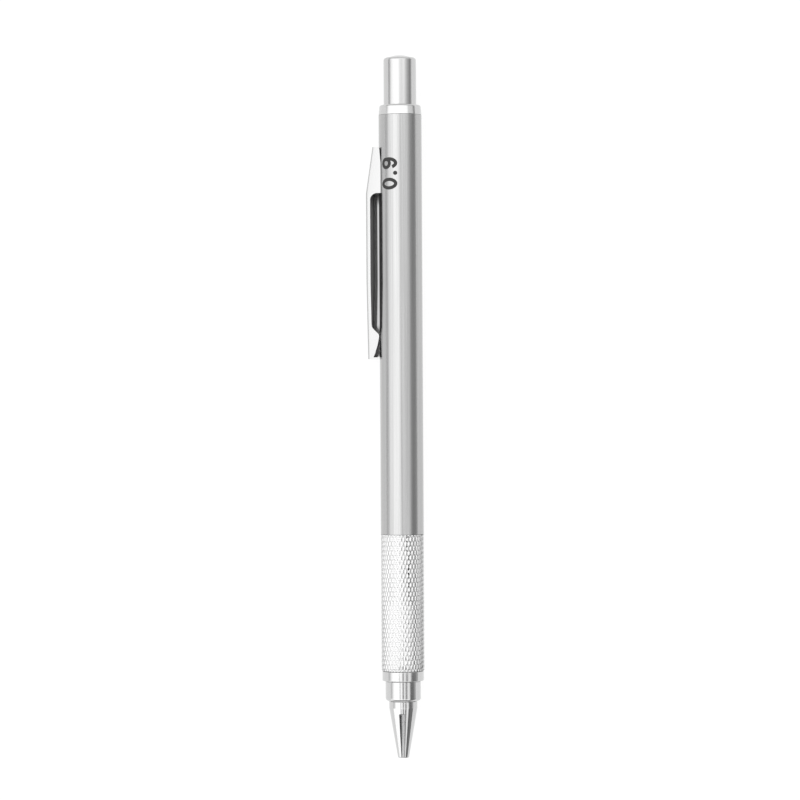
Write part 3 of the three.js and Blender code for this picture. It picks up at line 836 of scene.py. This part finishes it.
def clip_blank():
    """The sheet blank folded to a channel: open below and at the top, its spine's folds rounded."""
    bpy.ops.object.select_all(action="DESELECT")
    bpy.ops.mesh.primitive_cube_add(size=1, location=(0, 0, 0))
    blank = start("clip_sheet")
    low = 2.0  # below the feet, so that side_outline cuts them
    for v in blank.data.vertices:
        v.co = (
            v.co.x * 2 * CLIP_HALF,
            CLIP_TOP if v.co.y > 0 else CLIP_TAIL,
            CLIP_HEIGHT if v.co.z > 0 else low,
        )
    only(blank)
    bpy.ops.object.mode_set(mode="EDIT")
    for place in (84.15, 88, 92, CLIP_TAPER, 100, 106, 112, CLIP_RAMP, 116, 119, 122):
        bpy.ops.mesh.select_all(action="SELECT")
        bpy.ops.mesh.bisect(plane_co=(0, place, 0), plane_no=(0, 1, 0))
    mesh = bmesh.from_edit_mesh(blank.data)
    for v in mesh.verts:
        if v.co.y < CLIP_TAPER:
            share = (CLIP_TAPER - v.co.y) / (CLIP_TAPER - CLIP_TAIL)
            v.co.x *= 1 + share * (CLIP_TAIL_HALF / CLIP_HALF - 1)
        if v.co.y > CLIP_RAMP and v.co.z > low:
            v.co.z += (v.co.y - CLIP_RAMP) / (CLIP_TOP - CLIP_RAMP) * (CLIP_TOP_HEIGHT - CLIP_HEIGHT)
    bmesh.update_edit_mesh(blank.data)
    bpy.ops.mesh.select_mode(type="EDGE")
    pick(
        blank,
        lambda p, e: p.z > 5 and abs(p.x) > 1.7 and abs((e.verts[0].co - e.verts[1].co).y) > 0.5,
        "edges",
    )
    bpy.ops.mesh.bevel(offset=0.5, segments=5, affect="EDGES")
    pick(
        blank,
        lambda p, e: p.y < CLIP_TAIL + 0.01 and p.z > CLIP_HEIGHT - 0.01 and abs(p.x) < 1.5,
        "edges",
    )
    bpy.ops.mesh.bevel(offset=0.5, segments=4, affect="EDGES")
    bpy.ops.mesh.select_mode(type="FACE")
    pick(blank, lambda p, e: e.normal.z < -0.9 or (e.normal.y > 0.9 and p.y > CLIP_TOP - 0.1), "faces")
    bpy.ops.mesh.delete(type="FACE")
    bpy.ops.object.mode_set(mode="OBJECT")
    close_up(blank, 0.0001)
    apply_modifier(blank, "SOLIDIFY", thickness=SHEET, offset=-1.0, use_even_offset=True)
    return blank


def side_outline():
    """The clip's side view: its feet, the long window between them, and the end that rocks down."""
    foot = math.sqrt(BARREL_R**2 - CLIP_HALF**2) + CLIP_LIFT - 0.3
    window = CLIP_HEIGHT - 0.97
    arch = [
        (CLIP_RAMP - 1.25 + 1.25 * math.sin(math.radians(a)), window - 1.4 + 1.4 * math.cos(math.radians(a)))
        for a in range(0, 91, 15)
    ]
    return [
        (CLIP_TAIL - 0.5, FLAP_HEIGHT), (CLIP_TAIL + SHEET, FLAP_HEIGHT), (CLIP_TAIL + SHEET, 5.36),
        (81.8, 5.03), (82.6, 4.74), (83.4, 4.47), (84.6, 4.18), (85.3, 4.08), (85.7, 4.2), (86.2, 4.75),
        (86.65, 5.2), (87.1, window - 0.06), (87.6, window), *arch, (CLIP_RAMP, foot), (120.05, foot),
        (CLIP_TOP + 0.5, foot + 0.76), (CLIP_TOP + 0.5, 8), (CLIP_TAIL - 0.5, 8),
    ]


def prism(name, outline, half):
    """An outline of (y, z) corners extruded across the clip."""
    bpy.ops.object.select_all(action="DESELECT")
    bpy.ops.mesh.primitive_plane_add(size=1, location=(0, 0, 0))
    block = start(name)
    bpy.ops.object.mode_set(mode="EDIT")
    bpy.ops.mesh.select_mode(type="VERT")
    bpy.ops.mesh.merge(type="CENTER")
    bpy.ops.transform.translate(value=(-half, outline[0][0], outline[0][1]))
    for here, there in zip(outline, outline[1:]):
        bpy.ops.mesh.extrude_vertices_move(
            TRANSFORM_OT_translate={"value": (0, there[0] - here[0], there[1] - here[1])}
        )
    bpy.ops.mesh.select_all(action="SELECT")
    bpy.ops.mesh.edge_face_add()
    bpy.ops.mesh.extrude_region_move(TRANSFORM_OT_translate={"value": (2 * half, 0, 0)})
    bpy.ops.object.mode_set(mode="OBJECT")
    close_up(block, 0.0001)
    return block


def barrel_cutter(rock):
    """The barrel with the clip's lift round it, as the clip sees it when it has rocked open by an angle."""
    bpy.ops.object.select_all(action="DESELECT")
    bpy.ops.mesh.primitive_cylinder_add(
        vertices=192, radius=BARREL_R + CLIP_LIFT, depth=60, location=(0, 0, 0), rotation=(0, 0, 0)
    )
    cutter = start("barrel_cutter")
    lay = Matrix.Translation((0, 102, 0)) @ Matrix.Rotation(math.radians(90), 4, "X")
    swing = Matrix.Translation(CLIP_HINGE) @ Matrix.Rotation(rock, 4, "X") @ Matrix.Translation(-CLIP_HINGE)
    cutter.data.transform(swing @ lay)
    return cutter


def clip_sheet():
    clip = clip_blank()
    cut(clip, prism("side_view", side_outline(), 5), "INTERSECT")
    for rock in (0, 1.7, 3.3, CLIP_ROCK):
        cut(clip, barrel_cutter(math.radians(rock)))
    close_up(clip, 0.001)
    soften(clip, 0.045, 45)
    clip.data.transform(clip_place)
    close_up(clip, 0.0000002)
    return clip


def dull_shaded_inside(clip):
    """The inner faces of the clip's channel keep the dull finish of the raw sheet, with its painted shade
    towards the spine.
    """
    clip.data.materials.append(PRESSED_INSIDE_SHADED)
    to_clip = clip_place.inverted()
    turn_back = to_clip.to_3x3().normalized()
    for face in clip.data.polygons:
        middle = to_clip @ face.center
        facing = turn_back @ face.normal
        share = max(0, (CLIP_TAPER - middle.y) / (CLIP_TAPER - CLIP_TAIL))
        half = CLIP_HALF + share * (CLIP_TAIL_HALF - CLIP_HALF)
        inward = facing.x * middle.x < -0.3 * abs(middle.x) or facing.z < -0.5
        if inward and abs(middle.x) < half - 0.3:
            face.material_index = 1


clip = done(clip_sheet(), PRESSED, "clip_arm", ["clip"], smooth=30)
dull_shaded_inside(clip)


def cad_copy(name, node, edge):
    """A merged copy of a CAD node's shape with its edges rounded."""
    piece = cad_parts[node].copy()
    piece.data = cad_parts[node].data.copy()
    piece.name = name
    piece.data.name = name
    for key in list(piece.keys()):
        del piece[key]
    bpy.context.scene.collection.objects.link(piece)
    world = piece.matrix_world.copy()
    piece.parent = None
    piece.matrix_world = world
    only(piece)
    bpy.ops.object.transform_apply()
    close_up(piece)
    bpy.ops.object.mode_set(mode="EDIT")
    bpy.ops.mesh.select_all(action="SELECT")
    bpy.ops.mesh.dissolve_limited(angle_limit=math.radians(2))
    bpy.ops.object.mode_set(mode="OBJECT")
    soften(piece, edge * MM, 50)
    return piece


for name, node, body in (
    ("hinge_plate", "clip_anchor", "barrel"),
    ("hinge_stud_a", "clip_stud_left", "clip_arm"),
    ("hinge_stud_b", "clip_stud_right", "clip_arm"),
):
    done(cad_copy(name, node, 0.03), SPRING, body, [node])
leaf = done(cad_copy("leaf_spring", "clip_spring", 0.015), SPRING, "barrel", ["clip_spring"])
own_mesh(leaf)


# ---- The lead size, marked round the barrel
MARK_BASE = 114.7
MARK_END = 121.2
MARK_FOOT = math.radians(-8)
MARK_HEAD = math.radians(-56.2)
MARK_ROWS = 28
FILM_FOOT, FILM_TOP = 0.003, 0.009
DIGIT_WIDE, DIGIT_TALL, STROKE = 2.38, 3.46, 0.67
DOT_R, DOT_PLACE = 0.42, 3.32


def oval(name, left, foot, wide, tall):
    """A digit's closed stroke: an oval ring, drawn flat, in millimetres."""
    bpy.ops.object.select_all(action="DESELECT")
    bpy.ops.mesh.primitive_circle_add(vertices=64, radius=0.5, fill_type="NGON", location=(0, 0, 0))
    ring = start(name)
    bpy.ops.object.mode_set(mode="EDIT")
    bpy.ops.mesh.select_mode(type="FACE")
    bpy.ops.mesh.select_all(action="SELECT")
    bpy.ops.transform.resize(value=(wide, tall, 1))
    bpy.ops.mesh.inset(thickness=STROKE)
    bpy.ops.mesh.delete(type="FACE")
    bpy.ops.mesh.select_all(action="SELECT")
    bpy.ops.transform.translate(value=(left + wide / 2, foot + tall / 2, 0))
    bpy.ops.object.mode_set(mode="OBJECT")
    return ring


def thicken(piece):
    apply_modifier(piece, "SOLIDIFY", thickness=0.2, offset=0.0)
    close_up(piece, 0.0001)
    return piece


def nine(left):
    """A nine: a closed bowl, and a stem that swings round from its right side to a hook at the foot."""
    stem = oval("nine", left, 0, DIGIT_WIDE, DIGIT_TALL)
    only(stem)
    bpy.ops.object.mode_set(mode="EDIT")
    bpy.ops.mesh.select_mode(type="FACE")
    middle = left + DIGIT_WIDE / 2
    pick(stem, lambda p, e: p.x < middle and p.y > DIGIT_TALL * 0.3 or p.y > DIGIT_TALL * 0.72, "faces")
    bpy.ops.mesh.delete(type="FACE")
    bpy.ops.object.mode_set(mode="OBJECT")
    thicken(stem)
    bowl = thicken(oval("bowl", left, DIGIT_TALL * 0.37, DIGIT_WIDE * 0.98, DIGIT_TALL * 0.63))
    cut(stem, bowl, "UNION")
    return stem


def size_mark():
    """The number 0.9 in plain digits, read along the barrel, wrapped round it as a thin dark film."""
    mark = thicken(oval("size_mark", 0, 0, DIGIT_WIDE, DIGIT_TALL))
    bpy.ops.object.select_all(action="DESELECT")
    bpy.ops.mesh.primitive_circle_add(
        vertices=24, radius=DOT_R, fill_type="NGON", location=(DOT_PLACE, DOT_R, 0)
    )
    point = start("point")
    only(point)
    bpy.ops.object.transform_apply(location=True)
    digits = [thicken(point), nine(MARK_END - MARK_BASE - DIGIT_WIDE)]
    only(mark)
    for piece in digits:
        piece.select_set(True)
    bpy.ops.object.join()
    bpy.ops.object.mode_set(mode="EDIT")
    for i in range(1, MARK_ROWS):
        bpy.ops.mesh.select_all(action="SELECT")
        bpy.ops.mesh.bisect(plane_co=(0, DIGIT_TALL * i / MARK_ROWS, 0), plane_no=(0, 1, 0))
    bpy.ops.object.mode_set(mode="OBJECT")
    for v in mark.data.vertices:
        along = MARK_BASE + v.co.x
        around = MARK_FOOT + v.co.y / DIGIT_TALL * (MARK_HEAD - MARK_FOOT)
        reach = (BARREL_R + (FILM_TOP if v.co.z > 0 else FILM_FOOT)) * MM
        v.co = (AXIS_X + reach * math.sin(around), TIP_Y + along * MM, AXIS_Z + reach * math.cos(around))
    close_up(mark, 0.0000001)
    only(mark)
    bpy.ops.object.shade_smooth_by_angle(angle=math.radians(32))
    mark.data.materials.clear()
    mark.data.materials.append(ENGRAVED)
    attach(mark, "barrel")


size_mark()


# ---- The studio: a pale floor, and soft light that comes from wide panels on each side of the holder
def studio_floor():
    bpy.ops.object.select_all(action="DESELECT")
    bpy.ops.mesh.primitive_plane_add(size=6, location=(0, 0, 0))
    floor = start("floor")
    f = Finish("pale_floor")
    grain = f.noise((900, 900, 900), 2.0)
    # Painted shadow: the floor's glow is dimmed in the narrow gap below the clip, where little light reaches,
    # least of all at its two ends.
    across = f.along("X") / MM
    place = (f.along("Y") - TIP_Y) / MM
    below = f.stretch(across, -5.4, -4.7, -1, 0) * f.stretch(place, 80.9, 81.5, 116, 118)
    open_part = f.stretch(place, 86, 88, 111.5, 113.5)
    floor.data.materials.append(
        f.surface(
            {
                "Base Color": f.shade(grain, (0.13, 0.13, 0.13), (0.15, 0.15, 0.15)),
                "Roughness": 0.9,
                "Specular IOR Level": 0.0,
                "Emission Color": f.shade(below * (0.9 - open_part * 0.55), (1, 1, 1), (0, 0, 0)),
                "Emission Strength": 0.9,
            }
        )
    )


# Brightness by direction round the holder's axis, in degrees from straight up, with minus to the left. Each
# set of panels lights the surfaces whose reflection leans that far along the holder.
BRIGHTEST = 2.0
PANELS_AT_THE_BARREL = [
    (-180, 1.1), (-98, 1.05), (-90, 0.76), (-80, 0.68), (-73, 1.1), (-65, 1.5), (-45, 1.66), (-33, 1.95),
    (-17, BRIGHTEST), (-8, 1.65), (-3, 1.15), (0, 0.9), (4, 1.18), (12, 1.22), (22, 1.08), (36, 1.0), (46, 0.8),
    (55, 0.5), (66, 0.38), (80, 0.42), (91, 0.5), (98, 1.0), (180, 1.1),
]
PANELS_AT_THE_RING = [
    (-180, 1.1), (-98, 1.0), (-90, 0.62), (-80, 0.66), (-72, 1.2), (-62, 1.8), (12, 1.8), (40, 1.6), (46, 1.05),
    (72, 0.95), (78, 0.6), (84, 0.5), (92, 0.9), (180, 1.1),
]
PANELS_AT_THE_BUTTON = [
    (-180, 1.0), (-98, 0.95), (-89, 0.6), (-78, 0.55), (-69, 1.1), (-58, 1.55), (-38, 1.75), (-16, 1.75),
    (-3, 1.5), (12, 1.15), (26, 1.5), (35, 1.25), (42, 0.9), (55, 0.72), (66, 0.55), (73, 0.3), (81, 0.45),
    (92, 0.85), (180, 1.0),
]
PANELS_AT_THE_NOSE = [
    (-180, 1.1), (-96, 1.05), (-88, 0.8), (-79, 0.85), (-71, 1.25), (-60, 1.7), (-30, 1.75), (-25, 1.35),
    (-20, 0.4), (-15, 1.35), (-8, 1.55), (-3, 0.35), (0, 0.2), (3, 0.35), (8, 1.55), (13, 1.0), (18, 0.3),
    (24, 0.2), (30, 1.15), (37, 1.35), (44, 1.0), (48, 0.22), (56, 0.12), (66, 0.22), (73, 0.24), (80, 0.55),
    (90, 0.6), (98, 1.0), (180, 1.1),
]
PANELS_AT_THE_KNURL = [
    (-180, 1.1), (-96, 1.1), (-88, 1.7), (-30, 1.9), (20, 1.75), (44, 1.55), (52, 0.28), (96, 0.22), (101, 1.0),
    (180, 1.1),
]


def studio_light():
    world = bpy.data.worlds.new("studio")
    bpy.context.scene.world = world
    world.use_nodes = True
    f = Finish(tree=world.node_tree)
    direction = f.node("ShaderNodeTexCoord", output="Generated")
    x = f.node("ShaderNodeSeparateXYZ", {}, {0: direction}, output="X")
    y = f.node("ShaderNodeSeparateXYZ", {}, {0: direction}, output="Y")
    z = f.node("ShaderNodeSeparateXYZ", {}, {0: direction}, output="Z")
    around = f.node("ShaderNodeMath", {"operation": "ARCTAN2"}, {0: x, 1: z}) / (2 * math.pi) + 0.5

    def panels(stops):
        ramp = [(0.5 + angle / 360, light / BRIGHTEST) for angle, light in stops]
        return f.node("ShaderNodeValToRGB", {"stops": ramp}, {0: around}) * BRIGHTEST

    light = panels(PANELS_AT_THE_BARREL)
    for stops, near, far in (
        (PANELS_AT_THE_BUTTON, 0.0898, 0.0904), (PANELS_AT_THE_KNURL, 0.14, 0.16),
        (PANELS_AT_THE_RING, 0.205, 0.225), (PANELS_AT_THE_NOSE, -0.0815, -0.0825),
        (PANELS_AT_THE_KNURL, -0.12, -0.135), (PANELS_AT_THE_NOSE, -0.37, -0.39),
    ):
        there = f.band(y, near, far)
        light = light * (1 - there) + panels(stops) * there
    # Dim gaps lie beyond the panels at both ends, and even light beyond the gaps.
    for near, far, dim in ((0.42, 0.52, 0.4), (0.62, 0.72, 1.0), (-0.56, -0.64, 0.25), (-0.86, -0.94, 1.0)):
        there = f.band(y, near, far)
        light = light * (1 - there) + there * dim
    seen = f.node("ShaderNodeLightPath", output="Is Camera Ray")
    light = light * (1 - seen) + seen * 1.02
    background = f.node("ShaderNodeBackground", {}, {"Color": (1, 1, 1, 1), "Strength": light})
    f.node("ShaderNodeOutputWorld", {}, {"Surface": background})


def camera():
    lens = bpy.data.cameras.new("camera")
    lens.sensor_width = 36
    lens.lens = 145.34
    lens.clip_start = 0.05
    lens.clip_end = 20
    eye = bpy.data.objects.new("camera", lens)
    bpy.context.scene.collection.objects.link(eye)
    eye.location = (0.964 * MM, 1.345 * MM, 657.8 * MM)
    eye.rotation_euler = (0, 0, math.radians(-0.323))
    bpy.context.scene.camera = eye


studio_floor()
studio_light()
camera()
bpy.context.scene.view_settings.view_transform = "Standard"
